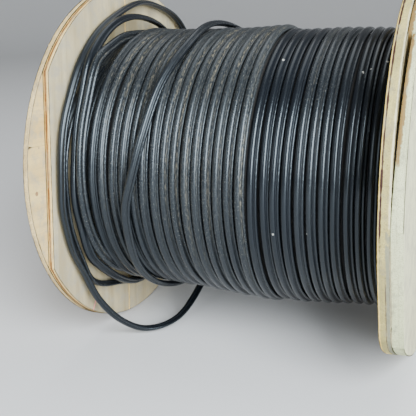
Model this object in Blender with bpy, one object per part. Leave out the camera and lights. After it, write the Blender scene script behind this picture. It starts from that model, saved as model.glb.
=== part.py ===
"""Wooden cable drum: two flanges of crossed boards, a barrel of staves, three tie rods,
the wound cable as one turned solid, and the slack turns by the left flange as plain tubes.
Metres, +Z up, the drum lies on its flange rims with its axis along X."""
import math

import bmesh
import bpy
import numpy as np
from mathutils import Vector

# ---- driving dimensions, metres ----
RIM_R = 0.210          # flange radius
RIM_SIDES = 96         # sides of the round flange outline
MID_X = -0.0056        # middle of the winding; the origin is under the middle of the box
HALF_W = 0.1762        # inner face of each flange from the middle
GAP = 0.0003           # gap between pieces that touch
BOARD_GAP = 0.0012     # open joint between neighbouring boards
L_LEAN, R_LEAN = 6.0, -14.5       # degrees each flange's boards are turned about the axis
L_IN, L_OUT = 0.0066, 0.0056      # left flange: inner and outer board thickness
R_IN, R_OUT = 0.0117, 0.0117      # right flange
L_FLAT = -0.1813       # where the left inner layer stops short, across the boards
R_FLAT = -0.2040       # straight outer side of the right outer layer
# the right flange was sawn short of round here: angle from the front, up positive, radius
R_BULGE = [(-64, 0.2100), (-58, 0.2105), (-52, 0.2128), (-46, 0.2165), (-40, 0.2205),
           (-34, 0.2222), (-28, 0.2156), (-22, 0.2117), (-14.5, 0.2100)]
OPEN_DEG = 1.6         # the right outer layer's near board has sprung off the layer inside it
OPEN_FROM = 0.0        # height from the axis where that wedge starts
ARBOR_R = 0.020        # hole on the axis
ROD_R, ROD_HOLE_R, ROD_PCR = 0.0040, 0.0046, 0.050
ROD_ANGLES = (90.0, 210.0, 330.0)
WASHER_R, WASHER_T = 0.011, 0.0018
NUT_AF, NUT_T = 0.013, 0.0065
ROD_STICKOUT = 0.004
STAVES = 10
BARREL_R, STAVE_T = 0.075, 0.011
BORE_R = 0.0756        # bore of the wound cable
CABLE_D = 0.0074       # the cable's round body
WIND_SIDES = 72

# the winding's left end, short of full, where the slack turns have left it
END_FROM, END_TO, END_R = -0.1759, -0.1458, 0.1400
# outline of the full winding: distance along the axis, radius
WIND_PROFILE = [
    (-0.1455, 0.1400), (-0.1446, 0.1545), (-0.1440, 0.1590), (-0.1330, 0.1600), (-0.1000, 0.1600),
    (-0.0500, 0.1620), (0.0000, 0.1645), (0.0350, 0.1655), (0.0700, 0.1635), (0.1200, 0.1635),
    (0.1700, 0.1620), (0.1759, 0.1605),
]

# slack turns: points on each cable's centre line
LOOP_ROUTE = [
    (-0.1675, 0.1181, 0.1242), (-0.1680, 0.1485, 0.1560), (-0.1690, 0.1716, 0.1980),
    (-0.1695, 0.1797, 0.2581), (-0.1695, 0.1648, 0.3170), (-0.1690, 0.1322, 0.3639),
    (-0.1690, 0.1124, 0.3781), (-0.1690, 0.0670, 0.3935), (-0.1690, 0.0269, 0.3995),
    (-0.1690, -0.0095, 0.3955), (-0.1690, -0.0450, 0.3856), (-0.1690, -0.0780, 0.3723),
    (-0.1690, -0.1081, 0.3522), (-0.1690, -0.1259, 0.3353), (-0.1690, -0.1447, 0.3084),
    (-0.1690, -0.1594, 0.2828), (-0.1690, -0.1688, 0.2554), (-0.1690, -0.1753, 0.2131),
    (-0.1690, -0.1772, 0.1891), (-0.1690, -0.1737, 0.1651), (-0.1690, -0.1655, 0.1340),
    (-0.1672, -0.1527, 0.1053), (-0.1640, -0.1428, 0.0786), (-0.1568, -0.1287, 0.0496),
    (-0.1505, -0.1180, 0.0334), (-0.1440, -0.1075, 0.0213), (-0.1290, -0.0905, 0.0078),
    (-0.1140, -0.0745, 0.0058), (-0.1040, -0.0460, 0.0070), (-0.1010, -0.0150, 0.0150),
    (-0.1000, 0.0150, 0.0270), (-0.1005, 0.0452, 0.0414), (-0.1010, 0.0862, 0.0606),
    (-0.1015, 0.1271, 0.0956), (-0.1020, 0.1576, 0.1463),
]
SECOND_ROUTE = [
    (-0.1585, 0.1085, 0.3077), (-0.1585, 0.0856, 0.3368), (-0.1585, 0.0574, 0.3653),
    (-0.1585, 0.0296, 0.3764), (-0.1585, -0.0144, 0.3837), (-0.1585, -0.0521, 0.3813),
    (-0.1585, -0.0794, 0.3725), (-0.1585, -0.1007, 0.3595), (-0.1585, -0.1142, 0.3485),
    (-0.1585, -0.1223, 0.3395), (-0.1585, -0.1373, 0.3110), (-0.1585, -0.1517, 0.2807),
    (-0.1585, -0.1628, 0.2393), (-0.1585, -0.1683, 0.1905), (-0.1585, -0.1613, 0.1594),
    (-0.1585, -0.1491, 0.1226), (-0.1585, -0.1322, 0.1041), (-0.1585, -0.0992, 0.0766),
    (-0.1585, -0.0504, 0.0518), (-0.1585, -0.0056, 0.0501), (-0.1585, 0.0368, 0.0625),
    (-0.1585, 0.0730, 0.0836),
]
THIRD_ROUTE = [
    (-0.1498, 0.0402, 0.3503), (-0.1498, 0.0106, 0.3616), (-0.1498, -0.0252, 0.3647),
    (-0.1498, -0.0604, 0.3635), (-0.1498, -0.0898, 0.3554), (-0.1498, -0.1158, 0.3445),
    (-0.1498, -0.1396, 0.3114), (-0.1498, -0.1578, 0.2738), (-0.1498, -0.1679, 0.2336),
    (-0.1498, -0.1674, 0.1865), (-0.1498, -0.1526, 0.1421), (-0.1498, -0.1241, 0.1059),
    (-0.1498, -0.0905, 0.0854), (-0.1498, -0.0547, 0.0746),
]
UNDER_ROUTE = [
    (-0.1705, -0.0811, 0.3302), (-0.1705, -0.1137, 0.3124), (-0.1705, -0.1430, 0.2861),
    (-0.1705, -0.1629, 0.2446), (-0.1705, -0.1675, 0.2042), (-0.1705, -0.1634, 0.1579),
    (-0.1705, -0.1480, 0.1158), (-0.1705, -0.1330, 0.0870), (-0.1705, -0.1065, 0.0703),
    (-0.1705, -0.0759, 0.0590), (-0.1705, -0.0424, 0.0484), (-0.1705, 0.0054, 0.0541),
    (-0.1705, 0.0451, 0.0711),
]

OBJECT = "cable_drum"


def clear_scene():
    for ob in list(bpy.data.objects):
        bpy.data.objects.remove(ob, do_unlink=True)
    for coll in list(bpy.data.collections):
        bpy.data.collections.remove(coll)


def collection(name):
    coll = bpy.data.collections.new(name)
    bpy.context.scene.collection.children.link(coll)
    return coll


def material(name, color, rough, metal=0.0):
    mat = bpy.data.materials.new(name)
    mat.use_nodes = True
    bsdf = mat.node_tree.nodes["Principled BSDF"]
    bsdf.inputs["Base Color"].default_value = (*color, 1.0)
    bsdf.inputs["Roughness"].default_value = rough
    bsdf.inputs["Metallic"].default_value = metal
    return mat


def mesh_object(name, verts, faces, coll, mat, smooth=False):
    mesh = bpy.data.meshes.new(name)
    mesh.from_pydata([tuple(v) for v in verts], [], faces)
    mesh.validate()
    bm = bmesh.new()
    bm.from_mesh(mesh)
    bmesh.ops.recalc_face_normals(bm, faces=bm.faces)
    bm.to_mesh(mesh)
    bm.free()
    for poly in mesh.polygons:
        poly.use_smooth = smooth
    mesh.materials.append(mat)
    ob = bpy.data.objects.new(name, mesh)
    coll.objects.link(ob)
    return ob


def across_along(s, t, lean):
    """A point of a flange's plane, given across and along its leaning boards, as (y, z)."""
    a = math.radians(lean)
    y = s * math.cos(a) + t * math.sin(a)
    z = -s * math.sin(a) + t * math.cos(a)
    return y, z + RIM_R


def rim_outline(lean):
    """The flange's outline in across/along terms; one side lies flat at the bottom."""
    out = []
    for k in range(RIM_SIDES):
        a = -math.pi / 2 + (k + 0.5) * 2 * math.pi / RIM_SIDES
        front = (180 - math.degrees(a) + 180) % 360 - 180
        r = RIM_R if lean == L_LEAN else float(np.interp(front, *zip(*R_BULGE)))
        r /= math.cos(math.pi / RIM_SIDES)
        a += math.radians(lean)
        out.append((r * math.cos(a), r * math.sin(a)))
    return out


def clip(poly, axis, limit, keep_above):
    """Cut a polygon with a line across one of its two axes."""
    out = []
    for i, p in enumerate(poly):
        q = poly[(i + 1) % len(poly)]
        p_in = p[axis] >= limit if keep_above else p[axis] <= limit
        q_in = q[axis] >= limit if keep_above else q[axis] <= limit
        if p_in:
            out.append(p)
        if p_in != q_in:
            f = (limit - p[axis]) / (q[axis] - p[axis])
            out.append((p[0] + f * (q[0] - p[0]), p[1] + f * (q[1] - p[1])))
    clean = []
    for p in out:
        if not clean or math.dist(p, clean[-1]) > 2e-4:
            clean.append(p)
    if math.dist(clean[0], clean[-1]) < 2e-4:
        clean.pop()
    return clean


def board(name, x0, x1, axis, low, high, lean, coll, mat):
    """One board of a flange layer between two cut lines, x0 to x1 thick."""
    poly = rim_outline(lean)
    poly = clip(poly, axis, low, True)
    poly = clip(poly, axis, high, False)
    n = len(poly)
    ring = [across_along(*p, lean) for p in poly]
    verts = [(x0, y, z) for y, z in ring] + [(x1, y, z) for y, z in ring]
    faces = [tuple(range(n)), tuple(range(2 * n - 1, n - 1, -1))]
    faces += [(i, i + n, (i + 1) % n + n, (i + 1) % n) for i in range(n)]
    return mesh_object(name, verts, faces, coll, mat)


def layer(name, x0, x1, axis, joints, lean, coll, mat):
    """Boards side by side; joints are the lines between them, ends included."""
    out = []
    for i in range(len(joints) - 1):
        low = joints[i] + (BOARD_GAP / 2 if i else 0.0)
        high = joints[i + 1] - (BOARD_GAP / 2 if i < len(joints) - 2 else 0.0)
        out.append(board(f"{name}_{i + 1}", x0, x1, axis, low, high, lean, coll, mat))
    return out


def lathe(name, profile, sides, coll, mat):
    """Turn a closed outline of (x, radius) about the drum's axis."""
    verts, faces = [], []
    n = len(profile)
    for k in range(sides):
        a = k * 2 * math.pi / sides
        for x, r in profile:
            verts.append((x, r * math.cos(a), RIM_R + r * math.sin(a)))
    for k in range(sides):
        m = (k + 1) % sides
        for i in range(n):
            j = (i + 1) % n
            faces.append((k * n + i, k * n + j, m * n + j, m * n + i))
    return mesh_object(name, verts, faces, coll, mat, smooth=True)


def bar(name, x0, x1, radius, sides, y, z, coll, mat, phase=0.0, smooth=True):
    """A straight round or six-sided piece along X."""
    ring = [(math.cos(phase + 2 * math.pi * k / sides), math.sin(phase + 2 * math.pi * k / sides))
            for k in range(sides)]
    verts = [(x, y + radius * c, z + radius * s) for x in (x0, x1) for c, s in ring]
    faces = [tuple(range(sides)), tuple(range(2 * sides - 1, sides - 1, -1))]
    faces += [(i, i + sides, (i + 1) % sides + sides, (i + 1) % sides) for i in range(sides)]
    return mesh_object(name, verts, faces, coll, mat, smooth=smooth)


def ring(name, x0, x1, outer, inner, sides, y, z, coll, mat, phase=0.0, hex_outer=False):
    """A washer or nut: outer outline and a round hole, along X."""
    verts, faces = [], []
    for x in (x0, x1):
        for rad, n_out in ((outer, hex_outer), (inner, False)):
            for k in range(sides):
                a = phase + 2 * math.pi * k / sides
                r = rad
                if n_out:
                    six = (a - phase) % (math.pi / 3) - math.pi / 6
                    r = rad / math.cos(six)
                verts.append((x, y + r * math.cos(a), z + r * math.sin(a)))
    s = sides
    for k in range(s):
        m = (k + 1) % s
        faces.append((k, m, s + m, s + k))
        faces.append((2 * s + k, 3 * s + k, 3 * s + m, 2 * s + m))
        faces.append((k, 2 * s + k, 2 * s + m, m))
        faces.append((s + k, s + m, 3 * s + m, 3 * s + k))
    return mesh_object(name, verts, faces, coll, mat)


def drill(target, cutter):
    mod = target.modifiers.new("hole", "BOOLEAN")
    mod.operation = "DIFFERENCE"
    mod.solver = "EXACT"
    mod.object = cutter


def smooth_points(points, step):
    """Evenly spaced points on the natural cubic through the given ones."""
    pts = np.array(points)
    dist = np.concatenate([[0.0], np.cumsum(np.linalg.norm(np.diff(pts, axis=0), axis=1))])
    n, h = len(pts), np.diff(dist)
    mat = np.zeros((n, n))
    mat[0, 0] = mat[-1, -1] = 1.0
    rhs = np.zeros((n, 3))
    for i in range(1, n - 1):
        mat[i, i - 1:i + 2] = (h[i - 1], 2 * (h[i - 1] + h[i]), h[i])
        rhs[i] = 6 * ((pts[i + 1] - pts[i]) / h[i] - (pts[i] - pts[i - 1]) / h[i - 1])
    m = np.linalg.solve(mat, rhs)
    count = max(4, int(round(dist[-1] / step)))
    out = []
    for s in np.linspace(0.0, dist[-1], count + 1):
        i = min(max(int(np.searchsorted(dist, s)) - 1, 0), n - 2)
        a, b, w = dist[i + 1] - s, s - dist[i], h[i]
        out.append(m[i] * a ** 3 / (6 * w) + m[i + 1] * b ** 3 / (6 * w)
                   + (pts[i] / w - m[i] * w / 6) * a + (pts[i + 1] / w - m[i + 1] * w / 6) * b)
    return [Vector(p) for p in out]


def cord(name, route, coll, mat):
    """A slack length of cable as a plain tube along its route."""
    pts = smooth_points(route, 0.0175)
    curve = bpy.data.curves.new(name, "CURVE")
    curve.dimensions = "3D"
    curve.bevel_depth = CABLE_D / 2
    curve.bevel_resolution = 2
    curve.use_fill_caps = True
    spline = curve.splines.new("POLY")
    spline.points.add(len(pts) - 1)
    for point, p in zip(spline.points, pts):
        point.co = (p.x, p.y, p.z, 1.0)
    curve.materials.append(mat)
    ob = bpy.data.objects.new(name, curve)
    coll.objects.link(ob)
    return ob


def flanges(coll, cuts, mat, wood_edge):
    """Both flanges, with the arbor hole and the three rod holes drilled through."""
    left_in = layer("left_inner_board", -HALF_W - L_IN, -HALF_W, 0,
                    [L_FLAT, -0.0258, 0.1120, 0.3], L_LEAN, coll, mat)
    x1 = -HALF_W - L_IN - GAP
    left_out = layer("left_outer_board", x1 - L_OUT, x1, 1,
                     [-0.3, -0.1130, 0.0285, 0.1330, 0.3], L_LEAN, coll, mat)
    right_in = layer("right_inner_board", HALF_W, HALF_W + R_IN, 1,
                     [-0.3, -0.1280, -0.0610, 0.0880, 0.3], R_LEAN, coll, mat)
    x0 = HALF_W + R_IN + GAP
    right_out = layer("right_outer_board", x0, x0 + R_OUT, 0,
                      [R_FLAT, -0.0840, 0.0720, 0.3], R_LEAN, coll, mat)
    open_board(right_out[0], x0)
    arbor = bar("cut_arbor", -0.3, 0.3, ARBOR_R, 40, 0.0, RIM_R, cuts, wood_edge)
    holes = []
    for i, deg in enumerate(ROD_ANGLES):
        y, z = rod_place(deg)
        cutter = bar(f"cut_rod_{i + 1}", -0.3, 0.3, ROD_HOLE_R, 16, y, z, cuts, wood_edge)
        holes.append((cutter, y, z))
    for ob in left_in + left_out + right_in + right_out:
        box = [v.co for v in ob.data.vertices]
        for cutter, cy, cz in [(arbor, 0.0, RIM_R)] + holes:
            if inside(box, cy, cz):
                drill(ob, cutter)
    return left_in, left_out, right_in, right_out


def inside(verts, y, z):
    """Whether a point lies within a board's outline, taken as convex."""
    pts = [(v.y, v.z) for v in verts[:len(verts) // 2]]
    sign = 0
    for i, p in enumerate(pts):
        q = pts[(i + 1) % len(pts)]
        cross = (q[0] - p[0]) * (z - p[1]) - (q[1] - p[1]) * (y - p[0])
        if sign == 0:
            sign = 1 if cross > 0 else -1
        elif cross * sign < 0:
            return False
    return True


def open_board(ob, x0):
    """Open a wedge behind the near board of the right outer layer, above a line."""
    slope = math.tan(math.radians(OPEN_DEG))
    bm = bmesh.new()
    bm.from_mesh(ob.data)
    bmesh.ops.bisect_plane(bm, geom=bm.verts[:] + bm.edges[:] + bm.faces[:],
                           plane_co=(0, 0, RIM_R + OPEN_FROM), plane_no=(0, 0, 1))
    for v in bm.verts:
        rise = v.co.z - (RIM_R + OPEN_FROM)
        if rise > 0 and v.co.x < x0 + R_OUT / 2:
            v.co.x += rise * slope
    bm.to_mesh(ob.data)
    bm.free()


def rod_place(deg):
    a = math.radians(deg)
    return ROD_PCR * math.cos(a), RIM_R + ROD_PCR * math.sin(a)


def barrel(coll, mat):
    """Staves side by side between the flanges."""
    step = 2 * math.pi / STAVES
    half = step / 2
    for k in range(STAVES):
        mid = k * step + half
        sec = []
        for r, sides in ((BARREL_R, 4), (BARREL_R - STAVE_T, 1)):
            trim = (0.00025 / r)
            arc = [mid - half + trim + (2 * half - 2 * trim) * i / sides for i in range(sides + 1)]
            if r < BARREL_R:
                arc = arc[::-1]
            sec += [(r * math.cos(a), RIM_R + r * math.sin(a)) for a in arc]
        n = len(sec)
        verts = [(x, y, z) for x in (-HALF_W + GAP, HALF_W - GAP) for y, z in sec]
        faces = [tuple(range(n)), tuple(range(2 * n - 1, n - 1, -1))]
        faces += [(i, i + n, (i + 1) % n + n, (i + 1) % n) for i in range(n)]
        mesh_object(f"stave_{k + 1}", verts, faces, coll, mat)


def tie_rods(coll, mat):
    left = -HALF_W - L_IN - GAP - L_OUT
    right = HALF_W + R_IN + GAP + R_OUT
    for i, deg in enumerate(ROD_ANGLES):
        y, z = rod_place(deg)
        reach = GAP + WASHER_T + GAP + NUT_T + ROD_STICKOUT
        bar(f"tie_rod_{i + 1}", left - reach, right + reach, ROD_R, 16, y, z, coll, mat)
        for side, face, sign in (("left", left, -1), ("right", right, 1)):
            a = face + sign * GAP
            b = a + sign * WASHER_T
            ring(f"washer_{side}_{i + 1}", min(a, b), max(a, b), WASHER_R, ROD_HOLE_R, 24, y, z,
                 coll, mat)
            c = b + sign * GAP
            d = c + sign * NUT_T
            ring(f"nut_{side}_{i + 1}", min(c, d), max(c, d), NUT_AF / 2, ROD_HOLE_R - 0.0002, 24,
                 y, z, coll, mat, phase=math.radians(10 + 40 * i), hex_outer=True)


def main():
    clear_scene()
    coll = collection(OBJECT)
    cuts = collection("cutters")
    wood = material("weathered_wood", (0.52, 0.43, 0.31), 0.8)
    stave_wood = material("barrel_wood", (0.50, 0.40, 0.27), 0.85)
    steel = material("zinc_steel", (0.55, 0.56, 0.57), 0.4, 1.0)
    jacket = material("cable_jacket", (0.02, 0.022, 0.025), 0.35)
    flanges(coll, cuts, wood, wood)
    barrel(coll, stave_wood)
    tie_rods(coll, steel)
    full = [(WIND_PROFILE[0][0], BORE_R)] + WIND_PROFILE + [(WIND_PROFILE[-1][0], BORE_R)]
    lathe("cable_winding", full, WIND_SIDES, coll, jacket)
    end = [(END_FROM, BORE_R), (END_FROM, END_R), (END_TO, END_R), (END_TO, BORE_R)]
    lathe("cable_winding_left_end", end, WIND_SIDES, coll, jacket)
    cord("slack_loop", LOOP_ROUTE, coll, jacket)
    cord("slack_turn_2", SECOND_ROUTE, coll, jacket)
    cord("slack_turn_3", THIRD_ROUTE, coll, jacket)
    cord("slack_turn_under", UNDER_ROUTE, coll, jacket)
    for ob in list(coll.objects) + list(cuts.objects):
        ob.location.x = MID_X
    for ob in cuts.objects:
        ob.hide_render = True
        ob.display_type = "WIRE"
    bpy.context.view_layer.update()


main()
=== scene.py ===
"""Wooden cable drum lying on its flange rims, wound with black figure-8 cable.

The drum's axis runs along X, 210 mm above the floor. Places on the drum are given as
(distance along the axis from the middle of the winding, radius, angle), with the angle
0 towards the front and 90 at the top. Metres throughout."""
import math

import bmesh
import bpy
import numpy as np
from mathutils import Matrix, Vector, noise


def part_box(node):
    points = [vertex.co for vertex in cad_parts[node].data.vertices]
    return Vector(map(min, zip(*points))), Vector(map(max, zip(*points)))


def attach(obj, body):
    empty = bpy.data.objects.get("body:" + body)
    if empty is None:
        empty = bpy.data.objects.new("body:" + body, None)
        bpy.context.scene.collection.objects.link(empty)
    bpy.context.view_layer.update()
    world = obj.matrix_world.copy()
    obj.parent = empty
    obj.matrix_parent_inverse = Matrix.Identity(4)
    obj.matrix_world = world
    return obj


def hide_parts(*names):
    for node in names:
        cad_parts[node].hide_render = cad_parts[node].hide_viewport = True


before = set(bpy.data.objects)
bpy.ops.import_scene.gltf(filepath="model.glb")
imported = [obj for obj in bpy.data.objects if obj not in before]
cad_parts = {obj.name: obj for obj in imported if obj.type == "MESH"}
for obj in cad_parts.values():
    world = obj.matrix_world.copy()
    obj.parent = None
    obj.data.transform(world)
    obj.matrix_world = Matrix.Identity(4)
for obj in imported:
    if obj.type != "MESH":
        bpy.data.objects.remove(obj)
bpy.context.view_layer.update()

# ---- the drum's own sizes ----
AXIS_Z = 0.210                    # height of the axis, and the flange radius
MID_X = -0.0056                   # middle of the winding in the frame
INNER = 0.1762                    # inner face of each flange from the middle
WOUND_END = 0.1757                # end of the wound layers, just clear of the flange
BORE = 0.0757                     # radius of the winding's bore, just clear of the barrel
L_LEAN = math.radians(6.0)        # how far each flange's boards are turned about the axis
R_LEAN = math.radians(-14.5)
CABLE_BODY = 0.0074               # round body of the cable
CABLE_WIRE = 0.0036               # jacketed messenger wire beside it
CABLE_STEP = 0.0053               # between their centres
CABLE_WEB = 0.0014                # web that joins them
TURN_STEP = 0.01225               # one turn to the next along the drum
LOWER_STEP = 0.0118               # the same in the layers below


# ---------------------------------------------------------------- camera, light, floor
def camera():
    data = bpy.data.cameras.new("view")
    data.sensor_width = 36.0
    data.lens = 58.15
    data.shift_x, data.shift_y = -0.2216, -0.1247
    data.clip_start, data.clip_end = 0.01, 50
    ob = bpy.data.objects.new("view", data)
    ob.location = (0.265 + MID_X, -0.7669, 0.4155)
    turn = (Matrix.Rotation(math.radians(15.911), 3, "Z")
            @ Matrix.Rotation(math.radians(90 - 13.991), 3, "X")
            @ Matrix.Rotation(math.radians(-0.397), 3, "Z"))
    ob.rotation_euler = turn.to_euler()
    bpy.context.scene.collection.objects.link(ob)
    bpy.context.scene.camera = ob


def soft_light(name, place, aim, size, power, tint=(1.0, 1.0, 1.0)):
    data = bpy.data.lights.new(name, "AREA")
    data.shape = "RECTANGLE"
    data.size, data.size_y = size
    data.energy = power
    data.color = tint
    ob = bpy.data.objects.new(name, data)
    ob.location = place
    ob.rotation_euler = (Vector(aim) - Vector(place)).to_track_quat("-Z", "Y").to_euler()
    bpy.context.scene.collection.objects.link(ob)


def studio():
    world = bpy.data.worlds.new("studio")
    world.use_nodes = True
    back = world.node_tree.nodes["Background"]
    back.inputs["Color"].default_value = (0.94, 0.97, 1.0, 1.0)
    back.inputs["Strength"].default_value = 0.24
    bpy.context.scene.world = world
    soft_light("window", (1.8, -1.85, 1.32), (0, 0, 0.3), (1.4, 2.3), 315, (0.89, 0.95, 1.0))
    soft_light("front_fill", (-1.1, -2.3, 1.3), (0, 0, 0.2), (1.2, 1.6), 26, (0.95, 0.98, 1.0))
    soft_light("overhead", (0.3, 0.8, 3.0), (0.2, 0.5, 0), (2.4, 2.4), 40)
    backdrop()


def backdrop():
    """A pale round floor that curves up into a wall all round."""
    flat, bend, sides = 4.0, 2.2, 64
    rings = [(flat, 0.0)]
    rings += [(flat + bend * math.sin(a), bend * (1 - math.cos(a)))
              for a in np.linspace(0, math.pi / 2, 13)[1:]]
    verts = []
    for radius, height in rings:
        verts += [(radius * math.cos(2 * math.pi * k / sides),
                   radius * math.sin(2 * math.pi * k / sides), height) for k in range(sides)]
    faces = [(i * sides + (k + 1) % sides, i * sides + k, (i + 1) * sides + k,
              (i + 1) * sides + (k + 1) % sides) for i in range(len(rings) - 1) for k in range(sides)]
    faces.append(tuple(range(sides)))
    mesh = bpy.data.meshes.new("backdrop")
    mesh.from_pydata(verts, [], faces)
    mesh.polygons.foreach_set("use_smooth", [True] * len(mesh.polygons))
    mesh.materials.append(plain_finish("studio_floor", (0.66, 0.66, 0.66), 0.8))
    ob = bpy.data.objects.new("backdrop", mesh)
    bpy.context.scene.collection.objects.link(ob)


# ---------------------------------------------------------------- material helpers
class Finish:
    """A material being put together: each call adds a node and hands back its output."""

    def __init__(self, name):
        self.mat = bpy.data.materials.new(name)
        self.mat.use_nodes = True
        self.nodes = self.mat.node_tree.nodes
        self.links = self.mat.node_tree.links
        self.shader = self.nodes["Principled BSDF"]

    def add(self, kind, inputs=(), out=0, **settings):
        node = self.nodes.new(kind)
        for key, value in settings.items():
            setattr(node, key, value)
        for key, value in dict(inputs).items():
            self.feed(node.inputs[key], value)
        return node.outputs[out]

    def feed(self, socket, value):
        if isinstance(value, bpy.types.NodeSocket):
            self.links.new(value, socket)
        else:
            socket.default_value = value

    def own(self, name):
        return self.add("ShaderNodeAttribute", out="Fac", attribute_type="GEOMETRY",
                        attribute_name=name)

    def place(self, turn=(0, 0, 0), scale=(1, 1, 1), shift=(0, 0, 0)):
        where = self.add("ShaderNodeTexCoord", out="Object")
        return self.mapped(where, turn, scale, shift)

    def mapped(self, where, turn=(0, 0, 0), scale=(1, 1, 1), shift=(0, 0, 0)):
        return self.add("ShaderNodeMapping", {"Vector": where, "Rotation": turn, "Scale": scale,
                                              "Location": shift})

    def noise(self, where, scale, detail=3.0, rough=0.5, warp=0.0):
        return self.add("ShaderNodeTexNoise", {"Vector": where, "Scale": scale, "Detail": detail,
                                               "Roughness": rough, "Distortion": warp})

    def math(self, how, a, b=0.0, c=0.0):
        return self.add("ShaderNodeMath", {0: a, 1: b, 2: c}, operation=how)

    def between(self, value, low, high, to_low=0.0, to_high=1.0):
        """Value stretched so that low gives to_low and high gives to_high, held at the ends."""
        return self.add("ShaderNodeMapRange", {"Value": value, "From Min": low, "From Max": high,
                                               "To Min": to_low, "To Max": to_high},
                        interpolation_type="SMOOTHSTEP")

    def mix(self, amount, a, b):
        node = self.nodes.new("ShaderNodeMix")
        node.data_type = "RGBA"
        self.feed(node.inputs[0], amount)
        self.feed(node.inputs[6], self.rgba(a))
        self.feed(node.inputs[7], self.rgba(b))
        return node.outputs[2]

    @staticmethod
    def rgba(value):
        if isinstance(value, bpy.types.NodeSocket):
            return value
        return (*value, 1.0) if len(value) == 3 else value

    def bump(self, height, distance, strength=1.0):
        return self.add("ShaderNodeBump", {"Height": height, "Distance": distance,
                                           "Strength": strength})

    def spot(self, where, place, radius, end=None):
        """1 inside a small round mark at a place, or along a stroke to its end; 0 outside."""
        start = Vector(place)
        away = self.add("ShaderNodeVectorMath", {0: where, 1: start}, operation="SUBTRACT")
        if end is not None:
            stroke = Vector(end) - start
            part = self.add("ShaderNodeVectorMath", {0: away, 1: stroke / stroke.length_squared},
                            "Value", operation="DOT_PRODUCT")
            part = self.add("ShaderNodeClamp", {"Value": part})
            part = self.add("ShaderNodeVectorMath", {0: stroke, "Scale": part}, operation="SCALE")
            away = self.add("ShaderNodeVectorMath", {0: away, 1: part}, operation="SUBTRACT")
        far = self.add("ShaderNodeVectorMath", {0: away}, "Value", operation="LENGTH")
        return self.between(far, radius * 0.6, radius, 1.0, 0.0)

    def done(self, color, rough, normal=None, **plain):
        self.feed(self.shader.inputs["Base Color"], self.rgba(color))
        self.feed(self.shader.inputs["Roughness"], rough)
        if normal is not None:
            self.feed(self.shader.inputs["Normal"], normal)
        for key, value in plain.items():
            self.shader.inputs[key.replace("_", " ")].default_value = value
        return self.mat


def plain_finish(name, color, rough):
    return Finish(name).done(color, rough)


# ---------------------------------------------------------------- places and paths
def on_drum(x, radius, degrees):
    a = math.radians(degrees)
    return np.array([x + MID_X, -radius * math.cos(a), AXIS_Z + radius * math.sin(a)])


def smooth_points(points, step):
    """Evenly spaced points on the natural cubic through the given ones."""
    pts = np.array(points)
    dist = np.concatenate([[0.0], np.cumsum(np.linalg.norm(np.diff(pts, axis=0), axis=1))])
    n, h = len(pts), np.diff(dist)
    mat = np.zeros((n, n))
    mat[0, 0] = mat[-1, -1] = 1.0
    rhs = np.zeros((n, pts.shape[1]))
    for i in range(1, n - 1):
        mat[i, i - 1:i + 2] = (h[i - 1], 2 * (h[i - 1] + h[i]), h[i])
        rhs[i] = 6 * ((pts[i + 1] - pts[i]) / h[i] - (pts[i] - pts[i - 1]) / h[i - 1])
    m = np.linalg.solve(mat, rhs)
    out = []
    for s in np.linspace(0.0, dist[-1], max(4, int(round(dist[-1] / step))) + 1):
        i = min(max(int(np.searchsorted(dist, s)) - 1, 0), n - 2)
        a, b, w = dist[i + 1] - s, s - dist[i], h[i]
        out.append(m[i] * a ** 3 / (6 * w) + m[i + 1] * b ** 3 / (6 * w)
                   + (pts[i] / w - m[i] * w / 6) * a + (pts[i + 1] / w - m[i + 1] * w / 6) * b)
    return np.array(out)


def drift(value, seed, period):
    """Smooth wandering between about -1 and 1 along a number."""
    return noise.noise(Vector((value / period, seed * 17.31, seed * 5.77))) * 1.6


# ---------------------------------------------------------------- figure-8 cable
def cable_section():
    """The cable's outline as a closed line: its body, the web and the messenger wire.
    groove is 1 in the web's valleys, around is the distance along the outline."""
    web = CABLE_WEB / 2
    pts, groove = [], []
    for radius, middle, turned, sides, beside in (
            (CABLE_BODY / 2, 0.0, 0.0, 12, 0.55), (CABLE_WIRE / 2, CABLE_STEP, math.pi, 7, 0.35)):
        opening = math.asin(web / radius)
        for k in range(sides + 1):
            a = turned + opening + (2 * math.pi - 2 * opening) * k / sides
            pts.append((middle + radius * math.cos(a), radius * math.sin(a), 0))
            groove.append({0: 1.0, 1: beside}.get(min(k, sides - k), 0.0))
    mesh = bpy.data.meshes.new("cable_section")
    n = len(pts)
    mesh.from_pydata(pts, [(i, (i + 1) % n) for i in range(n)], [])
    store(mesh, "groove", groove)
    around = np.concatenate([[0.0], np.cumsum([math.dist(pts[i], pts[i + 1])
                                               for i in range(n - 1)])])
    store(mesh, "around", around)
    ob = bpy.data.objects.new("cable_section", mesh)
    bpy.context.scene.collection.objects.link(ob)
    return ob


def store(mesh, name, values, kind="FLOAT"):
    own = mesh.attributes.new(name, kind, "POINT")
    own.data.foreach_set("vector" if kind == "FLOAT_VECTOR" else "value",
                         np.asarray(values, dtype=np.float32).ravel())


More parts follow.
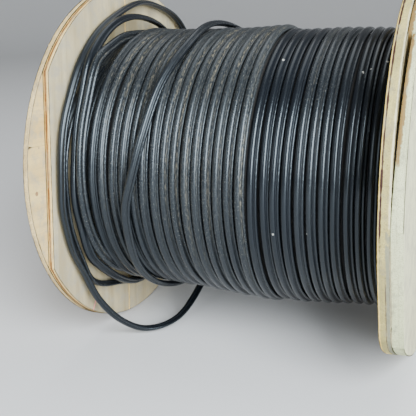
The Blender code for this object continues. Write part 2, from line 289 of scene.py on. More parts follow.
def cable_tree():
    """Runs the section along a path whose points say which way the wire lies."""
    tree = bpy.data.node_groups.new("cable_along_path", "GeometryNodeTree")
    face = tree.interface
    face.new_socket("Path", in_out="INPUT", socket_type="NodeSocketGeometry")
    section = face.new_socket("Section", in_out="INPUT", socket_type="NodeSocketObject")
    jacket = face.new_socket("Jacket", in_out="INPUT", socket_type="NodeSocketMaterial")
    face.new_socket("Cable", in_out="OUTPUT", socket_type="NodeSocketGeometry")
    new, link = tree.nodes.new, tree.links.new
    given, result = new("NodeGroupInput"), new("NodeGroupOutput")
    line, turned = new("GeometryNodeMeshToCurve"), new("GeometryNodeSetCurveNormal")
    turned.mode = "FREE"
    side = new("GeometryNodeInputNamedAttribute")
    side.data_type = "FLOAT_VECTOR"
    side.inputs["Name"].default_value = "side"
    shape, outline = new("GeometryNodeObjectInfo"), new("GeometryNodeMeshToCurve")
    skin, smooth = new("GeometryNodeCurveToMesh"), new("GeometryNodeSetShadeSmooth")
    skin.inputs["Fill Caps"].default_value = True
    real, coat = new("GeometryNodeRealizeInstances"), new("GeometryNodeSetMaterial")
    link(given.outputs["Path"], line.inputs[0])
    link(line.outputs[0], turned.inputs["Curve"])
    link(side.outputs["Attribute"], turned.inputs["Normal"])
    link(given.outputs["Section"], shape.inputs["Object"])
    link(shape.outputs["Geometry"], outline.inputs[0])
    link(turned.outputs[0], skin.inputs["Curve"])
    link(outline.outputs[0], skin.inputs["Profile Curve"])
    link(skin.outputs[0], smooth.inputs[0])
    link(smooth.outputs[0], real.inputs[0])
    link(real.outputs[0], coat.inputs["Geometry"])
    link(given.outputs["Jacket"], coat.inputs["Material"])
    link(coat.outputs[0], result.inputs[0])
    return tree, section.identifier, jacket.identifier


STRAND_SHIFT = 3.7                # sets each strand's dust and scuffs apart from the last


def swept(name, strands, section, tree, jacket):
    """One mesh of cables along strands; each is (points, sides, dust) with a row per point."""
    verts, edges, sides, dust, along = [], [], [], [], []
    for number, (pts, side, dirt) in enumerate(strands):
        base, steps = len(verts), np.linalg.norm(np.diff(pts, axis=0), axis=1)
        verts += [tuple(p) for p in pts]
        edges += [(base + i, base + i + 1) for i in range(len(pts) - 1)]
        sides += list(side)
        dust += list(dirt)
        along += list(np.concatenate([[0.0], np.cumsum(steps)]) + number * STRAND_SHIFT)
    mesh = bpy.data.meshes.new(name + "_path")
    mesh.from_pydata(verts, edges, [])
    store(mesh, "side", sides, "FLOAT_VECTOR")
    store(mesh, "dust", dust)
    store(mesh, "along", along)
    line = bpy.data.objects.new(name + "_path", mesh)
    bpy.context.scene.collection.objects.link(line)
    group, section_id, jacket_id = tree
    mod = line.modifiers.new("cable", "NODES")
    mod.node_group = group
    mod[section_id] = section
    mod[jacket_id] = jacket
    bpy.context.view_layer.update()
    made = bpy.data.meshes.new_from_object(line.evaluated_get(
        bpy.context.evaluated_depsgraph_get()))
    bpy.data.objects.remove(line)
    ob = bpy.data.objects.new(name, made)
    outward(made)
    bpy.context.scene.collection.objects.link(ob)
    return ob


def outward(mesh):
    bm = bmesh.new()
    bm.from_mesh(mesh)
    bmesh.ops.recalc_face_normals(bm, faces=bm.faces)
    bm.to_mesh(mesh)
    bm.free()


def lying(pts, roll_degrees):
    """Which way the wire lies from the body: along the drum's axis, rolled about the cable."""
    pts = np.asarray(pts)
    tangent = np.gradient(pts, axis=0)
    tangent /= np.linalg.norm(tangent, axis=1)[:, None]
    axis = np.array([1.0, 0, 0])
    side = axis - (tangent @ axis)[:, None] * tangent
    side /= np.linalg.norm(side, axis=1)[:, None]
    out = np.cross(side, tangent)
    from_axis = pts - np.array([0, 0, AXIS_Z])
    from_axis[:, 0] = 0
    flip = np.sign(np.sum(out * from_axis, axis=1))
    out *= np.where(flip == 0, 1, flip)[:, None]
    roll = np.radians(np.broadcast_to(roll_degrees, len(pts)))[:, None]
    return np.cos(roll) * side + np.sin(roll) * out


# ---------------------------------------------------------------- slack turns
LOOP_ROUTE = [
    (-0.1675, 0.1181, 0.1242), (-0.1680, 0.1485, 0.1560), (-0.1690, 0.1716, 0.1980),
    (-0.1695, 0.1797, 0.2581), (-0.1695, 0.1648, 0.3170), (-0.1690, 0.1322, 0.3639),
    (-0.1690, 0.1124, 0.3781), (-0.1690, 0.0670, 0.3935), (-0.1690, 0.0269, 0.3995),
    (-0.1690, -0.0095, 0.3955), (-0.1690, -0.0450, 0.3856), (-0.1690, -0.0780, 0.3723),
    (-0.1690, -0.1081, 0.3522), (-0.1690, -0.1259, 0.3353), (-0.1690, -0.1447, 0.3084),
    (-0.1690, -0.1594, 0.2828), (-0.1690, -0.1688, 0.2554), (-0.1690, -0.1753, 0.2131),
    (-0.1690, -0.1772, 0.1891), (-0.1690, -0.1737, 0.1651), (-0.1690, -0.1655, 0.1340),
    (-0.1672, -0.1527, 0.1053), (-0.1640, -0.1428, 0.0786), (-0.1568, -0.1287, 0.0496),
    (-0.1505, -0.1180, 0.0334), (-0.1440, -0.1075, 0.0213), (-0.1290, -0.0905, 0.0078),
    (-0.1140, -0.0745, 0.0058), (-0.1040, -0.0460, 0.0070), (-0.1010, -0.0150, 0.0150),
    (-0.1000, 0.0150, 0.0270), (-0.1005, 0.0452, 0.0414), (-0.1010, 0.0862, 0.0606),
    (-0.1015, 0.1271, 0.0956), (-0.1020, 0.1576, 0.1463),
]
SECOND_ROUTE = [
    (-0.1585, 0.1085, 0.3077), (-0.1585, 0.0856, 0.3368), (-0.1585, 0.0574, 0.3653),
    (-0.1585, 0.0296, 0.3764), (-0.1585, -0.0144, 0.3837), (-0.1585, -0.0521, 0.3813),
    (-0.1585, -0.0794, 0.3725), (-0.1585, -0.1007, 0.3595), (-0.1585, -0.1142, 0.3485),
    (-0.1585, -0.1223, 0.3395), (-0.1585, -0.1373, 0.3110), (-0.1585, -0.1517, 0.2807),
    (-0.1585, -0.1628, 0.2393), (-0.1585, -0.1683, 0.1905), (-0.1585, -0.1613, 0.1594),
    (-0.1585, -0.1491, 0.1226), (-0.1585, -0.1322, 0.1041), (-0.1585, -0.0992, 0.0766),
    (-0.1585, -0.0504, 0.0518), (-0.1585, -0.0056, 0.0501), (-0.1585, 0.0368, 0.0625),
    (-0.1585, 0.0730, 0.0836),
]
THIRD_ROUTE = [
    (-0.1498, 0.0402, 0.3503), (-0.1498, 0.0106, 0.3616), (-0.1498, -0.0252, 0.3647),
    (-0.1498, -0.0604, 0.3635), (-0.1498, -0.0898, 0.3554), (-0.1498, -0.1158, 0.3445),
    (-0.1498, -0.1396, 0.3114), (-0.1498, -0.1578, 0.2738), (-0.1498, -0.1679, 0.2336),
    (-0.1498, -0.1674, 0.1865), (-0.1498, -0.1526, 0.1421), (-0.1498, -0.1241, 0.1059),
    (-0.1498, -0.0905, 0.0854), (-0.1498, -0.0547, 0.0746),
]
UNDER_ROUTE = [
    (-0.1705, -0.0811, 0.3302), (-0.1705, -0.1137, 0.3124), (-0.1705, -0.1430, 0.2861),
    (-0.1705, -0.1629, 0.2446), (-0.1705, -0.1675, 0.2042), (-0.1705, -0.1634, 0.1579),
    (-0.1705, -0.1480, 0.1158), (-0.1705, -0.1330, 0.0870), (-0.1705, -0.1065, 0.0703),
    (-0.1705, -0.0759, 0.0590), (-0.1705, -0.0424, 0.0484), (-0.1705, 0.0054, 0.0541),
    (-0.1705, 0.0451, 0.0711),
]


# name, route, (part of its length, degrees the wire is turned), how dusty it is
SLACK_TURNS = [
    ("slack_loop", LOOP_ROUTE, [(0, 0), (0.45, 0), (0.62, 25), (0.8, -20), (1, 0)], 0.16),
    ("slack_turn_2", SECOND_ROUTE, [(0, -10), (0.5, -32), (0.8, -25), (1, -10)], 0.18),
    ("slack_turn_3", THIRD_ROUTE, [(0, -60), (0.5, -62), (1, -60)], 0.5),
    ("slack_turn_under", UNDER_ROUTE, [(0, 0), (0.3, 25), (0.62, 25), (0.8, -10), (1, 0)], 0.4),
]


def slack_turn(name, route, rolls, dust, section, tree, jacket):
    """A slack length of cable that hangs by the left flange."""
    pts = smooth_points(route, 0.0045)
    pts[:, 0] += MID_X
    part = np.linspace(0, 1, len(pts))
    roll = np.interp(part, [r[0] for r in rolls], [r[1] for r in rolls])
    dirt = [dust + 0.12 * drift(s, len(name), 0.06) for s in part]
    ob = swept(name, [(pts, lying(pts, roll), dirt)], section, tree, jacket)
    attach(ob, "root")
    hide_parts(name)


# ---------------------------------------------------------------- wound cable
# radius of the outer turns on top of the winding and underneath, along the drum
TOP_RADIUS = [(-0.145, 0.1560), (-0.100, 0.1545), (-0.060, 0.1560), (-0.020, 0.1575),
              (0.020, 0.1605), (0.030, 0.1615), (0.045, 0.1565), (0.090, 0.1585),
              (0.130, 0.1600), (0.176, 0.1595)]
LOW_RADIUS = [(-0.145, 0.1560), (-0.100, 0.1570), (-0.050, 0.1588), (0.000, 0.1630),
              (0.020, 0.1640), (0.030, 0.1670), (0.045, 0.1615), (0.070, 0.1630),
              (0.100, 0.1600), (0.150, 0.1567), (0.176, 0.1565)]
# dust along the drum: the clean stretch is the darker, shinier one; by the right flange the film
# falls to almost none, which darkens those turns as painted shade of the flange
DUST_AND_SHADE = [(-0.150, 0.55), (-0.110, 0.75), (0.010, 1.00), (0.036, 1.10), (0.0385, 0.06),
        (0.080, 0.05), (0.084, 0.55), (0.115, 0.45), (0.130, 0.10), (0.176, 0.02)]
FIRST_TURN = -0.1448              # body of the first turn, level with the axis at the front
LAST_TURN = 0.1675
OUTER_END = -0.1452               # left of here the winding is a layer short
RECESS_RADIUS = 0.1437            # bodies of the turns that show there


def curve_of(table, value):
    return float(np.interp(value, [p[0] for p in table], [p[1] for p in table]))


def surface_radius(x, degrees):
    """Radius of the outer turns' bodies: slacker underneath than on top."""
    up = 0.5 + 0.5 * math.sin(math.radians(degrees))
    return up * curve_of(TOP_RADIUS, x) + (1 - up) * curve_of(LOW_RADIUS, x)


def wound_turns():
    """The outer layer as one helix, with the wandering of hand winding."""
    step = 4.0
    turns = (LAST_TURN - FIRST_TURN) / TURN_STEP
    pts, rolls, dust = [], [], []
    for a in np.arange(-90.0, turns * 360.0 - 90.0, step):
        x = FIRST_TURN + TURN_STEP * a / 360.0
        x += 0.0009 * drift(min(a % 360.0, 360.0 - a % 360.0), 2 + x * 9, 70.0)
        x += 0.00035 * drift(a, 5, 55.0)
        radius = surface_radius(x, a) + 0.0006 * drift(a, 8, 90.0)
        pts.append(on_drum(x, radius, a))
        rolls.append(-10 + 16 * drift(a, 11, 160.0))
        settles = 0.60 + 0.40 * math.sin(math.radians(a))     # dust lies on top
        # the dust amount also holds painted shade: almost none on the turns by the right flange
        dust.append(curve_of(DUST_AND_SHADE, x) * settles * (1 + 0.30 * drift(a, 14, 240.0)))
    pts = np.array(pts)
    return [(pts, lying(pts, rolls), dust)]


def lower_turns():
    """Turns of the layers below that show where the slack turns have left the left end."""
    strands = []
    for radius, first, last in ((RECESS_RADIUS, -0.1718, -0.1475), (0.1510, -0.1440, -0.1425),
                                (0.1437, -0.1440, -0.1425)):
        count = max(1.0, (last - first) / LOWER_STEP)
        pts = np.array([on_drum(first + LOWER_STEP * a / 360.0,
                                radius + 0.0004 * drift(a, 21, 80.0), a)
                        for a in np.arange(0, 360 * count, 5.0)])
        strands.append((pts, lying(pts, -6.0), [0.45] * len(pts)))
    return strands


CROSSING = [  # place along the axis, radius, angle
    (-0.0400, 0.1555, 150), (-0.0430, 0.1625, 128), (-0.0530, 0.1655, 105), (-0.0607, 0.1656, 84),
    (-0.0627, 0.1650, 62.5), (-0.0737, 0.1645, 41.8), (-0.0792, 0.1640, 28.3),
    (-0.0867, 0.1638, 14.6), (-0.0957, 0.1638, 2.0), (-0.1030, 0.1638, -6.8),
    (-0.1063, 0.1638, -18.2), (-0.1110, 0.1638, -33.9), (-0.1120, 0.1640, -48.9),
    (-0.1080, 0.1645, -66), (-0.1000, 0.1640, -88), (-0.0920, 0.1600, -112),
    (-0.0880, 0.1545, -135),
]


def crossing_turn():
    """The turn that lies across the others."""
    pts = smooth_points([on_drum(*p) for p in CROSSING], 0.006)
    return [(pts, lying(pts, -4.0), [0.30] * len(pts))]


def inner_layers(finish):
    """The layer under the outer turns, as ridges in the gaps between them, round the bore."""
    angles = [k * 360 / 96 for k in range(96)]
    under_recess, under_turns = RECESS_RADIUS - 0.0035, 0.0052
    rows = [[on_drum(x, radius, a) for a in angles] for x, radius in (
        (-WOUND_END, BORE), (-WOUND_END, under_recess), (OUTER_END, under_recess))]
    for x in np.linspace(OUTER_END, WOUND_END, 160):
        ridge = 0.0012 * math.cos(2 * math.pi * (x - FIRST_TURN - 0.0075) / TURN_STEP)
        rows.append([on_drum(x, surface_radius(x, a) - under_turns + ridge, a) for a in angles])
    rows.append([on_drum(WOUND_END, BORE, a) for a in angles])
    return shell_of("inner_layers", rows, finish)


def shell_of(name, rows, finish):
    """A closed skin through rings of points, the last ring joined back to the first."""
    n, m = len(rows), len(rows[0])
    verts = [tuple(p) for row in rows for p in row]
    faces = [(i * m + k, i * m + (k + 1) % m, ((i + 1) % n) * m + (k + 1) % m, ((i + 1) % n) * m + k)
             for i in range(n) for k in range(m)]
    mesh = bpy.data.meshes.new(name)
    mesh.from_pydata(verts, [], faces)
    outward(mesh)
    mesh.polygons.foreach_set("use_smooth", [True] * len(mesh.polygons))
    mesh.materials.append(finish)
    ob = bpy.data.objects.new(name, mesh)
    bpy.context.scene.collection.objects.link(ob)
    return ob


SPLASHES = [  # pale spots on the winding: along the axis, angle, size
    (0.0544, 56.0, 0.0019), (0.0628, -12.4, 0.0016), (0.0974, -11.1, 0.0015), (0.1432, 49.9, 0.0026),
    (0.1463, 47.5, 0.0021), (0.1453, 43.9, 0.0018), (0.1643, 55.5, 0.0018), (0.1490, 51.5, 0.0016),
]


CLEAN_JACKET, DUST_FILM = (0.0035, 0.0045, 0.0065), (0.027, 0.031, 0.033)
GROOVE_DUST, SPECKS, SPLASH = (0.33, 0.29, 0.20), (0.34, 0.33, 0.29), (0.42, 0.42, 0.38)
TWIST_STEP = 0.0066               # one strand of the messenger to the next along the cable


def cable_jacket(name):
    """Black polythene: satin where clean, grey-brown dust that settles in the grooves."""
    f = Finish(name)
    along, around = f.own("along"), f.own("around")
    # dust also carries painted shade: almost no film on the turns by the right flange
    dust, groove = f.own("dust"), f.own("groove")
    skin = f.add("ShaderNodeCombineXYZ", {"X": along, "Y": around, "Z": dust})
    streaks = f.noise(f.mapped(skin, scale=(14, 1700, 0)), 1.0, 4.0, 0.62)
    patches = f.noise(f.mapped(skin, scale=(170, 620, 0), shift=(3, 0, 0)), 1.0, 5.0, 0.66)
    grit = f.noise(f.mapped(skin, scale=(520, 900, 0)), 1.0, 2.0, 0.7)
    film = f.math("MULTIPLY", dust, f.between(patches, 0.32, 0.70, 0.35, 1.0))
    film = f.math("MULTIPLY", film, f.between(streaks, 0.32, 0.68, 0.55, 1.0))
    settled = f.math("MULTIPLY", groove, f.between(patches, 0.46, 0.62))
    settled = f.math("MULTIPLY", settled, f.between(dust, 0.25, 0.85))
    stretches = f.noise(f.mapped(skin, scale=(7, 60, 0), shift=(1, 7, 0)), 1.0, 2.0, 0.5)
    settled = f.math("MULTIPLY", settled, f.between(stretches, 0.44, 0.60, 0.15, 1.0))
    specks = f.math("MULTIPLY", f.between(grit, 0.61, 0.70), f.between(dust, 0.10, 0.7, 0.03, 1.0))
    color = f.mix(film, CLEAN_JACKET, DUST_FILM)
    color = f.mix(f.math("MULTIPLY", settled, 0.62), color, GROOVE_DUST)
    color = f.mix(f.math("MULTIPLY", specks, 0.50), color, SPECKS)
    where = f.place()
    for x, degrees, size in SPLASHES:
        top = surface_radius(x, degrees) + CABLE_BODY / 2
        splash = f.spot(where, on_drum(x, top, degrees), size)
        ragged = f.between(f.math("ADD", splash, f.between(grit, 0.3, 0.7, -0.3, 0.3)), 0.35, 0.6)
        color = f.mix(f.math("MULTIPLY", ragged, 0.65), color, SPLASH)
    twist = f.math("SINE", f.math("ADD", f.math("MULTIPLY", along, 2 * math.pi / TWIST_STEP),
                                  f.math("MULTIPLY", around, 420.0)))
    twist = f.math("MULTIPLY", twist, f.between(around, 0.0200, 0.0215, 0.12, 0.75))
    rough = f.math("ADD", f.between(film, 0.0, 0.9, 0.24, 0.36), f.math("MULTIPLY", groove, 0.12))
    height = f.math("ADD", f.math("MULTIPLY", streaks, 0.7), f.math("MULTIPLY", grit, 0.6))
    height = f.math("ADD", height, f.math("MULTIPLY", twist, 0.6))
    return f.done(color, rough, f.bump(height, 0.00014, 0.6), Specular_IOR_Level=0.42,
                  Specular_Tint=(0.80, 0.92, 1.0, 1.0))


# ---------------------------------------------------------------- flange boards
# node: its cut lines lie across (0) or along (1) the leaning boards, at these two distances
BOARDS = {
    "left_inner_board_1": (0, -0.1813, -0.0258), "left_inner_board_2": (0, -0.0258, 0.1120),
    "left_inner_board_3": (0, 0.1120, 0.2100),
    "left_outer_board_1": (1, -0.2100, -0.1130), "left_outer_board_2": (1, -0.1130, 0.0285),
    "left_outer_board_3": (1, 0.0285, 0.1330), "left_outer_board_4": (1, 0.1330, 0.2100),
    "right_inner_board_1": (1, -0.2100, -0.1280), "right_inner_board_2": (1, -0.1280, -0.0610),
    "right_inner_board_3": (1, -0.0610, 0.0880), "right_inner_board_4": (1, 0.0880, 0.2100),
    "right_outer_board_1": (0, -0.2040, -0.0840), "right_outer_board_2": (0, -0.0840, 0.0720),
    "right_outer_board_3": (0, 0.0720, 0.2100),
}
OPEN_JOINT, TIGHT_JOINT = 0.0012, 0.00015
THICK = {"left_inner": 0.0066, "left_outer": 0.0056, "right_inner": 0.0117, "right_outer": 0.0117}
RIM = AXIS_Z - 0.00005            # a hair inside the solid's rim
# where the right flange's outline leaves the round: angle from the front, up positive, radius
BULGE = [(-64, 0.2100), (-58, 0.2105), (-52, 0.2128), (-46, 0.2165), (-40, 0.2205),
         (-34, 0.2222), (-28, 0.2156), (-22, 0.2117), (-14.5, 0.2100)]
OPEN_SLOPE = math.tan(math.radians(1.6))   # wedge behind the sprung board, above the axis
SPLIT_OFF = (0.242, 0.272)                 # heights between which its outer corner has split off
DRILLED = {"left_inner_board_2", "left_outer_board_2", "left_outer_board_3",
           "right_inner_board_3", "right_outer_board_2"}
ARBOR_RADIUS = 0.020
ROD_HOLE = 0.0046                 # radius of a tie rod's hole
ROD_CIRCLE = 0.050                # radius of the circle that the rods stand on
ROD_ANGLES = (90.0, 210.0, 330.0)


def across_along(s, t, lean):
    """A point of a flange's plane, given across and along its leaning boards, as (y, z)."""
    y = s * math.cos(lean) + t * math.sin(lean)
    z = -s * math.sin(lean) + t * math.cos(lean)
    return y, z + AXIS_Z


def rim_radius(front, lean):
    """Radius of a flange's rim at an angle from the front."""
    return RIM + (curve_of(BULGE, front) - AXIS_Z if lean == R_LEAN else 0.0)


def low_rim(split, lean):
    """Where each line along the boards meets the rim on its near or lower side."""
    turned = np.radians(np.arange(-90, 91) if split else np.arange(0, -181, -1))
    radius = np.array([rim_radius(math.degrees(a + lean), lean) for a in turned])
    across, along = radius * np.cos(turned), radius * np.sin(turned)
    return (along, across) if split else (-across, -along)


def spread(low, high, step, close=(0.0, 0.0007, 0.0018, 0.0040)):
    """Stations from low to high with a few close ones at each end."""
    inner = np.linspace(low + 0.007, high - 0.007, max(2, int((high - low - 0.014) / step)))
    return np.concatenate([[low + c for c in close], inner, [high - c for c in reversed(close)]])


def split_off(z, inwards):
    """How much of the sprung board's outer corner has split away at a height."""
    middle, half = sum(SPLIT_OFF) / 2, (SPLIT_OFF[1] - SPLIT_OFF[0]) / 2
    deepest, wide = 0.0030, 0.007
    part = max(0.0, 1 - ((z - middle) / half) ** 2)
    return deepest * part ** 0.5 * max(0.0, 1 - inwards / wide)


def half_chord(u):
    """Half the length of the line across the round flange at a distance from its middle."""
    return math.sqrt(max(1e-6, RIM ** 2 - u * u))


class Board:
    """The measures and the wear of one sawn board of a flange."""

    def __init__(self, node):
        self.node = node
        self.split, self.low, self.high = BOARDS[node]
        self.inner_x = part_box(node)[0][0]
        self.thick = THICK[node.rsplit("_board", 1)[0]]
        self.seed = sum(map(ord, node)) * 0.37
        self.lean = L_LEAN if node.startswith("left") else R_LEAN
        self.tight = node.startswith(("right_inner", "left_outer"))
        self.verts, self.edge, self.depth = [], [], []
        self.us, self.grid = self.stations()

    def stations(self):
        """Lines along the board from one joint to the other, and the points on each."""
        joint = TIGHT_JOINT if self.tight else OPEN_JOINT
        low = self.low + (joint / 2 if self.low > -0.18 else 0.0)
        high = self.high - (joint / 2 if self.high < AXIS_Z else 0.0)
        flattened = 0.2            # radius at which equal angles are measured as distances
        ends = [math.asin(max(-0.9985, min(0.9985, u / RIM))) * flattened for u in (low, high)]
        us = RIM * np.sin(spread(*ends, 0.00084) / flattened)
        tall = max(half_chord(u) for u in us)
        parts = spread(-tall, tall, 0.0066) / tall
        low_lines, low_reach = low_rim(self.split, self.lean)
        grid = []
        for u in us:
            high_end, low_end = half_chord(u), float(np.interp(u, low_lines, low_reach))
            grid.append([(u, f * (high_end if f > 0 else low_end)) for f in parts])
        return us, grid

    def put(self, u, t, w, rim):
        """Adds a point across, along and through the board and hands back its number."""
        s, a = (u, t) if self.split == 0 else (t, u)
        y, z = across_along(s, a, self.lean)
        x = self.inner_x + w * self.thick
        if self.node == "right_outer_board_1":
            x += max(0.0, z - AXIS_Z) * OPEN_SLOPE * (1 - w)
            x -= split_off(z, s - self.low) * max(0.0, w - 0.5) * 2
        self.verts.append((x, y, z))
        self.edge.append(rim)
        self.depth.append(w)
        return len(self.verts) - 1

    def on_joint(self, i, j):
        """Whether a point lies on the straight stretch of a joint."""
        n, m = len(self.us), len(self.grid[0])
        return i in (0, n - 1) and j not in (0, m - 1) and abs(self.us[i]) < 0.16

    def outwards(self, i, j):
        """Which way is out of the board at a point of its outline."""
        n, m = len(self.us), len(self.grid[0])
        u, t = self.grid[i][j]
        d = Vector((u, t)).normalized() if j in (0, m - 1) else Vector((0.0, 0.0))
        if i in (0, n - 1) and abs(u) < 0.2 and not (self.tight and d.length):
            d += Vector((1.0 if i else -1.0, 0.0))
        return d.normalized() if d.length else d

    def in_tight_joint(self, u, t):
        return self.tight and abs(t) < 0.98 * half_chord(u)

    def rough(self, u, t, w):
        """How far the sawn edge lies inside its line."""
        if self.in_tight_joint(u, t):
            return 0.0
        at = Vector((u * 240 + self.seed, t * 240, w * 2.2))
        wave = noise.noise(Vector((u * 38 + self.seed, t * 38, w * 1.3)))
        return 0.00034 * (1 + noise.noise(at)) + 0.0006 * (0.5 + wave * 0.5)

    def chip(self, u, t, side):
        """Extra wear of a face's corner line."""
        if self.in_tight_joint(u, t):
            return 0.00005
        bite = noise.noise(Vector((u * 120 + self.seed, t * 120, side * 9.0)))
        flake = noise.noise(Vector((u * 31 + self.seed, t * 31, side * 5.0 + 3)))
        return 0.0004 + 0.0005 * max(0.0, bite) + 0.0016 * max(0.0, flake - 0.34)

    def faces(self):
        """The two broad faces, and the rough edge between them all round."""
        n, m = len(self.us), len(self.grid[0])
        faces, index = [], {}
        for side in (0, 1):
            for i in range(n):
                for j in range(m):
                    u, t = self.grid[i][j]
                    rim = 0.0
                    if i in (0, n - 1) or j in (0, m - 1):
                        d = self.outwards(i, j)
                        back = self.rough(u, t, side) + self.chip(u, t, side)
                        u, t = u - d.x * back, t - d.y * back
                        rim = 0.15 if self.on_joint(i, j) else 0.8
                    elif j in (1, m - 2) or i in (1, n - 2) and not self.on_joint(0, j):
                        rim = 0.35
                    index[side, i, j] = self.put(u, t, float(side), rim)
            for i in range(n - 1):
                for j in range(m - 1):
                    faces.append(tuple(index[side, a, b] for a, b in
                                       ((i, j), (i + 1, j), (i + 1, j + 1), (i, j + 1))))
        ring = ([(i, 0) for i in range(n)] + [(n - 1, j) for j in range(1, m)]
                + [(i, m - 1) for i in range(n - 2, -1, -1)] + [(0, j) for j in range(m - 2, 0, -1)])
        rows = [[index[0, i, j] for i, j in ring]]
        rows += [self.edge_row(ring, w) for w in (0.06, 0.25, 0.5, 0.75, 0.94)]
        rows.append([index[1, i, j] for i, j in ring])
        k = len(ring)
        for a, b in zip(rows, rows[1:]):
            faces += [(a[q], a[(q + 1) % k], b[(q + 1) % k], b[q]) for q in range(k)]
        return faces

    def edge_row(self, ring, w):
        """Points round the board's outline at a part of its thickness."""
        row = []
        for i, j in ring:
            u, t = self.grid[i][j]
            d, back = self.outwards(i, j), self.rough(u, t, w)
            if w < 0.1 or w > 0.9:
                back += 0.3 * self.chip(u, t, 0 if w < 0.5 else 1)
            row.append(self.put(u - d.x * back, t - d.y * back, w, 1.0))
        return row


def board(node, finish):
    """A sawn board of a flange with softened, chipped edges and a rough rim."""
    sawn = Board(node)
    faces = sawn.faces()
    mesh = bpy.data.meshes.new(node)
    mesh.from_pydata(sawn.verts, [], faces)
    store(mesh, "edge", sawn.edge)
    store(mesh, "depth", sawn.depth)
    tone = 0.5 + 0.5 * noise.noise(Vector((sawn.seed, 1.0, 2.0)))
    store(mesh, "tone", [tone] * len(sawn.verts))
    outward(mesh)
    mesh.materials.append(finish)
    ob = bpy.data.objects.new("worn_" + node, mesh)
    bpy.context.scene.collection.objects.link(ob)
    if node in DRILLED:
        drill(ob)
    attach(ob, "root")
    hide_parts(node)


def drill(ob):
    """Holes for the spindle and the tie rods."""
    holes = [(0.0, AXIS_Z, ARBOR_RADIUS, 48)]
    for deg in ROD_ANGLES:
        a = math.radians(deg)
        holes.append((ROD_CIRCLE * math.cos(a), AXIS_Z + ROD_CIRCLE * math.sin(a), ROD_HOLE, 20))
    bm = bmesh.new()
    for y, z, radius, sides in holes:
        place = Matrix.Translation((0, y, z)) @ Matrix.Rotation(math.pi / 2, 4, "Y")
        bmesh.ops.create_cone(bm, cap_ends=True, segments=sides, radius1=radius, radius2=radius,
                              depth=0.6, matrix=place)
    mesh = bpy.data.meshes.new("drills")
    bm.to_mesh(mesh)
    bm.free()
    cutter = bpy.data.objects.new("drills", mesh)
    bpy.context.scene.collection.objects.link(cutter)
    mod = ob.modifiers.new("holes", "BOOLEAN")
    mod.object, mod.solver = cutter, "EXACT"
    bpy.context.view_layer.update()
    made = bpy.data.meshes.new_from_object(ob.evaluated_get(
        bpy.context.evaluated_depsgraph_get()))
    ob.modifiers.clear()
    ob.data = made
    bpy.data.objects.remove(cutter)


SMUT, LOW_DARKENING = (0.30, 0.28, 0.22), (0.25, 0.20, 0.13)
CUT_SMUT, GROWTH_RINGS = (0.18, 0.17, 0.14), (0.24, 0.20, 0.12)


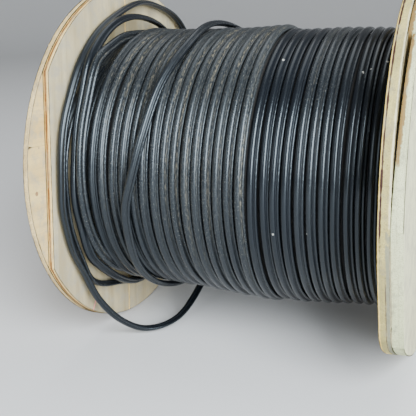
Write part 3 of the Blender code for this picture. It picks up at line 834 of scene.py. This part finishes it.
def weathered_wood(name, lean, upright, face, rim, strips=(), marks=()):
    """Sawn softwood: greyed, dirty faces and paler cut rims with strips along them.
    face and rim are (darker, lighter); strips are (middle and half width as parts of the
    board's thickness, colour, strength, lowest and highest height); marks are (place, size,
    colour, end of the stroke or None)."""
    f = Finish(name)
    where = f.place()
    boards = f.place(turn=(lean, 0, 0))
    if not upright:
        boards = f.mapped(boards, turn=(math.pi / 2, 0, 0))
    height = f.add("ShaderNodeSeparateXYZ", {"Vector": where}, "Z")
    edge, depth, tone = f.own("edge"), f.own("depth"), f.own("tone")
    fibre = f.noise(f.mapped(boards, scale=(60, 420, 9)), 1.0, 5.0, 0.65, 0.3)
    grain = f.noise(f.mapped(boards, scale=(30, 60, 4.0)), 1.0, 3.0, 0.5, 0.8)
    blotch = f.noise(f.mapped(boards, scale=(16, 16, 10)), 1.0, 5.0, 0.65)
    crumb = f.noise(where, 900.0, 3.0, 0.7)
    smut = f.noise(f.mapped(where, scale=(90, 60, 60), shift=(5, 1, 2)), 1.0, 5.0, 0.7)
    amount = f.math("ADD", f.math("MULTIPLY", grain, 0.65), f.math("MULTIPLY", blotch, 0.60))
    amount = f.math("ADD", amount, f.math("MULTIPLY", tone, 0.15))
    color = f.mix(f.between(amount, 0.48, 0.92), *face)
    color = f.mix(f.math("MULTIPLY", f.between(fibre, 0.50, 0.70), 0.22), color,
                  tuple(c * 0.6 for c in face[0]))
    color = f.mix(f.math("MULTIPLY", f.between(smut, 0.42, 0.66), 0.62), color, SMUT)
    # blotchy darker brown towards the bottom of the boards
    low = f.between(height, 0.05, 0.22, 0.30, 0.0)
    color = f.mix(f.math("MULTIPLY", low, f.between(blotch, 0.35, 0.6)), color, LOW_DARKENING)
    cut = f.mix(f.between(blotch, 0.36, 0.62), *rim)
    cut = f.mix(f.math("MULTIPLY", f.between(crumb, 0.46, 0.66), 0.60), cut,
                tuple(c * 0.45 for c in rim[0]))
    for middle, half, tint, strength, lowest, highest in strips:
        off = f.math("ABSOLUTE", f.math("SUBTRACT", depth, middle))
        off = f.math("ADD", off, f.between(smut, 0.3, 0.7, -half * 0.35, half * 0.35))
        strip = f.math("MULTIPLY", f.between(off, half * 0.6, half, 1.0, 0.0), strength)
        ragged = f.math("ADD", height, f.between(smut, 0.3, 0.7, -0.02, 0.02))
        strip = f.math("MULTIPLY", strip, f.between(ragged, lowest - 0.01, lowest + 0.01))
        strip = f.math("MULTIPLY", strip, f.between(ragged, highest - 0.01, highest + 0.01, 1.0, 0.0))
        cut = f.mix(strip, cut, tint)
    cut = f.mix(f.math("MULTIPLY", f.between(smut, 0.50, 0.68), 0.50), cut, CUT_SMUT)
    growth = f.noise(f.mapped(where, scale=(700, 6, 14)), 1.0, 3.0, 0.6)
    cut = f.mix(f.math("MULTIPLY", f.between(growth, 0.50, 0.66), 0.30), cut, GROWTH_RINGS)
    ragged = f.math("ADD", edge, f.math("MULTIPLY", f.math("SUBTRACT", crumb, 0.5), 0.7))
    color = f.mix(f.between(ragged, 0.30, 0.62), color, cut)
    for place, size, tint, end in marks:
        color = f.mix(f.math("MULTIPLY", f.spot(where, place, size, end),
                             f.between(crumb, 0.3, 0.6, 0.5, 0.9)), color, tint)
    relief = f.math("ADD", f.math("MULTIPLY", fibre, 0.8), f.math("MULTIPLY", crumb, 0.5))
    return f.done(color, f.between(blotch, 0.3, 0.7, 0.72, 0.88), f.bump(relief, 0.0006, 0.5),
                  Specular_IOR_Level=0.3)


def stave_wood():
    f = Finish("barrel_wood")
    where = f.place(scale=(4, 90, 90))
    fibre = f.noise(where, 1.0, 5.0, 0.6, 0.4)
    color = f.mix(f.between(fibre, 0.35, 0.65), (0.30, 0.21, 0.12), (0.46, 0.35, 0.22))
    return f.done(color, 0.85, f.bump(fibre, 0.0005, 0.6))


def dull_zinc():
    f = Finish("dull_zinc")
    where = f.place()
    scuff, bloom = f.noise(where, 900.0, 3.0, 0.7), f.noise(where, 160.0, 5.0, 0.65)
    color = f.mix(f.between(bloom, 0.42, 0.62), (0.52, 0.54, 0.56), (0.36, 0.36, 0.35))
    color = f.mix(f.between(bloom, 0.60, 0.70), color, (0.24, 0.11, 0.045))
    f.feed(f.shader.inputs["Metallic"], f.between(bloom, 0.60, 0.70, 0.95, 0.1))
    return f.done(color, f.between(scuff, 0.3, 0.7, 0.32, 0.55), f.bump(scuff, 0.0001, 0.4))


def dress(nodes, finish):
    """Give a solid from the frame its finish."""
    for name in nodes:
        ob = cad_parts[name]
        ob.data.materials.clear()
        ob.data.materials.append(finish)


ALL = (-1.0, 1.0)                 # heights of a strip that runs all the way up


def board_finishes():
    grey = (0.30, 0.24, 0.13), (0.48, 0.41, 0.25)
    upright = weathered_wood(
        "upright_boards", L_LEAN, True, grey, ((0.50, 0.29, 0.07), (0.66, 0.43, 0.14)),
        strips=[(0.38, 0.17, (0.13, 0.045, 0.010), 0.95, *ALL),
                (0.82, 0.16, (0.78, 0.62, 0.32), 0.5, *ALL)],
        marks=[((MID_X - INNER, -0.1197, 0.0542), 0.0011, (0.85, 0.22, 0.25),
                (MID_X - INNER, -0.1265, 0.0444))])
    crescent = MID_X - INNER - THICK["left_inner"]
    level = weathered_wood(
        "level_boards", L_LEAN, False, ((0.54, 0.37, 0.14), (0.70, 0.52, 0.22)),
        ((0.45, 0.32, 0.14), (0.66, 0.50, 0.24)),
        strips=[(1.0, 0.16, (0.17, 0.16, 0.13), 0.7, *ALL)],
        marks=[((crescent, -0.1974, 0.2097), 0.0030, (0.16, 0.07, 0.04), None),
               ((crescent, -0.1867, 0.2565), 0.0014, (0.20, 0.15, 0.10), None)])
    right_in = weathered_wood(
        "right_level_boards", R_LEAN, False, grey, ((0.32, 0.27, 0.10), (0.50, 0.42, 0.15)),
        strips=[(0.06, 0.10, (0.68, 0.48, 0.14), 0.8, *ALL),
                (0.19, 0.10, (0.030, 0.010, 0.007), 1.0, 0.19, 0.45),
                (0.92, 0.11, (0.66, 0.61, 0.40), 0.7, 0.21, 0.45),
                (0.84, 0.20, (0.17, 0.18, 0.13), 0.85, -0.1, 0.19),
                (0.64, 0.045, (0.07, 0.045, 0.03), 0.9, -0.1, 0.16)])
    right_out = weathered_wood(
        "right_upright_boards", R_LEAN, True, ((0.48, 0.47, 0.29), (0.61, 0.60, 0.38)),
        ((0.44, 0.47, 0.27), (0.56, 0.58, 0.35)),
        strips=[(0.08, 0.36, (0.19, 0.105, 0.022), 0.95, 0.262, 0.45)])
    return {"left_inner": upright, "left_outer": level, "right_inner": right_in,
            "right_outer": right_out}


# ---------------------------------------------------------------- assembly
def main():
    camera()
    section, tree = cable_section(), cable_tree()
    jacket = cable_jacket("cable_jacket")
    for name, route, rolls, dust in SLACK_TURNS:
        slack_turn(name, route, rolls, dust, section, tree, jacket)
    wound = swept("wound_cable", wound_turns() + crossing_turn(), section, tree, jacket)
    lower = swept("lower_turns", lower_turns(), section, tree, jacket)
    core = inner_layers(plain_finish("dusty_gap", (0.012, 0.011, 0.010), 0.8))
    for ob in (wound, lower, core):
        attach(ob, "root")
    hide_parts("cable_winding")
    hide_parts("cable_winding_left_end")
    bpy.data.objects.remove(section)
    picks = board_finishes()
    for node in BOARDS:
        board(node, picks[node.rsplit("_board", 1)[0]])
    names = sorted(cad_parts)
    dress([n for n in names if n.startswith("stave")], stave_wood())
    dress([n for n in names if n.startswith(("tie_rod", "nut", "washer"))], dull_zinc())
    studio()


main()
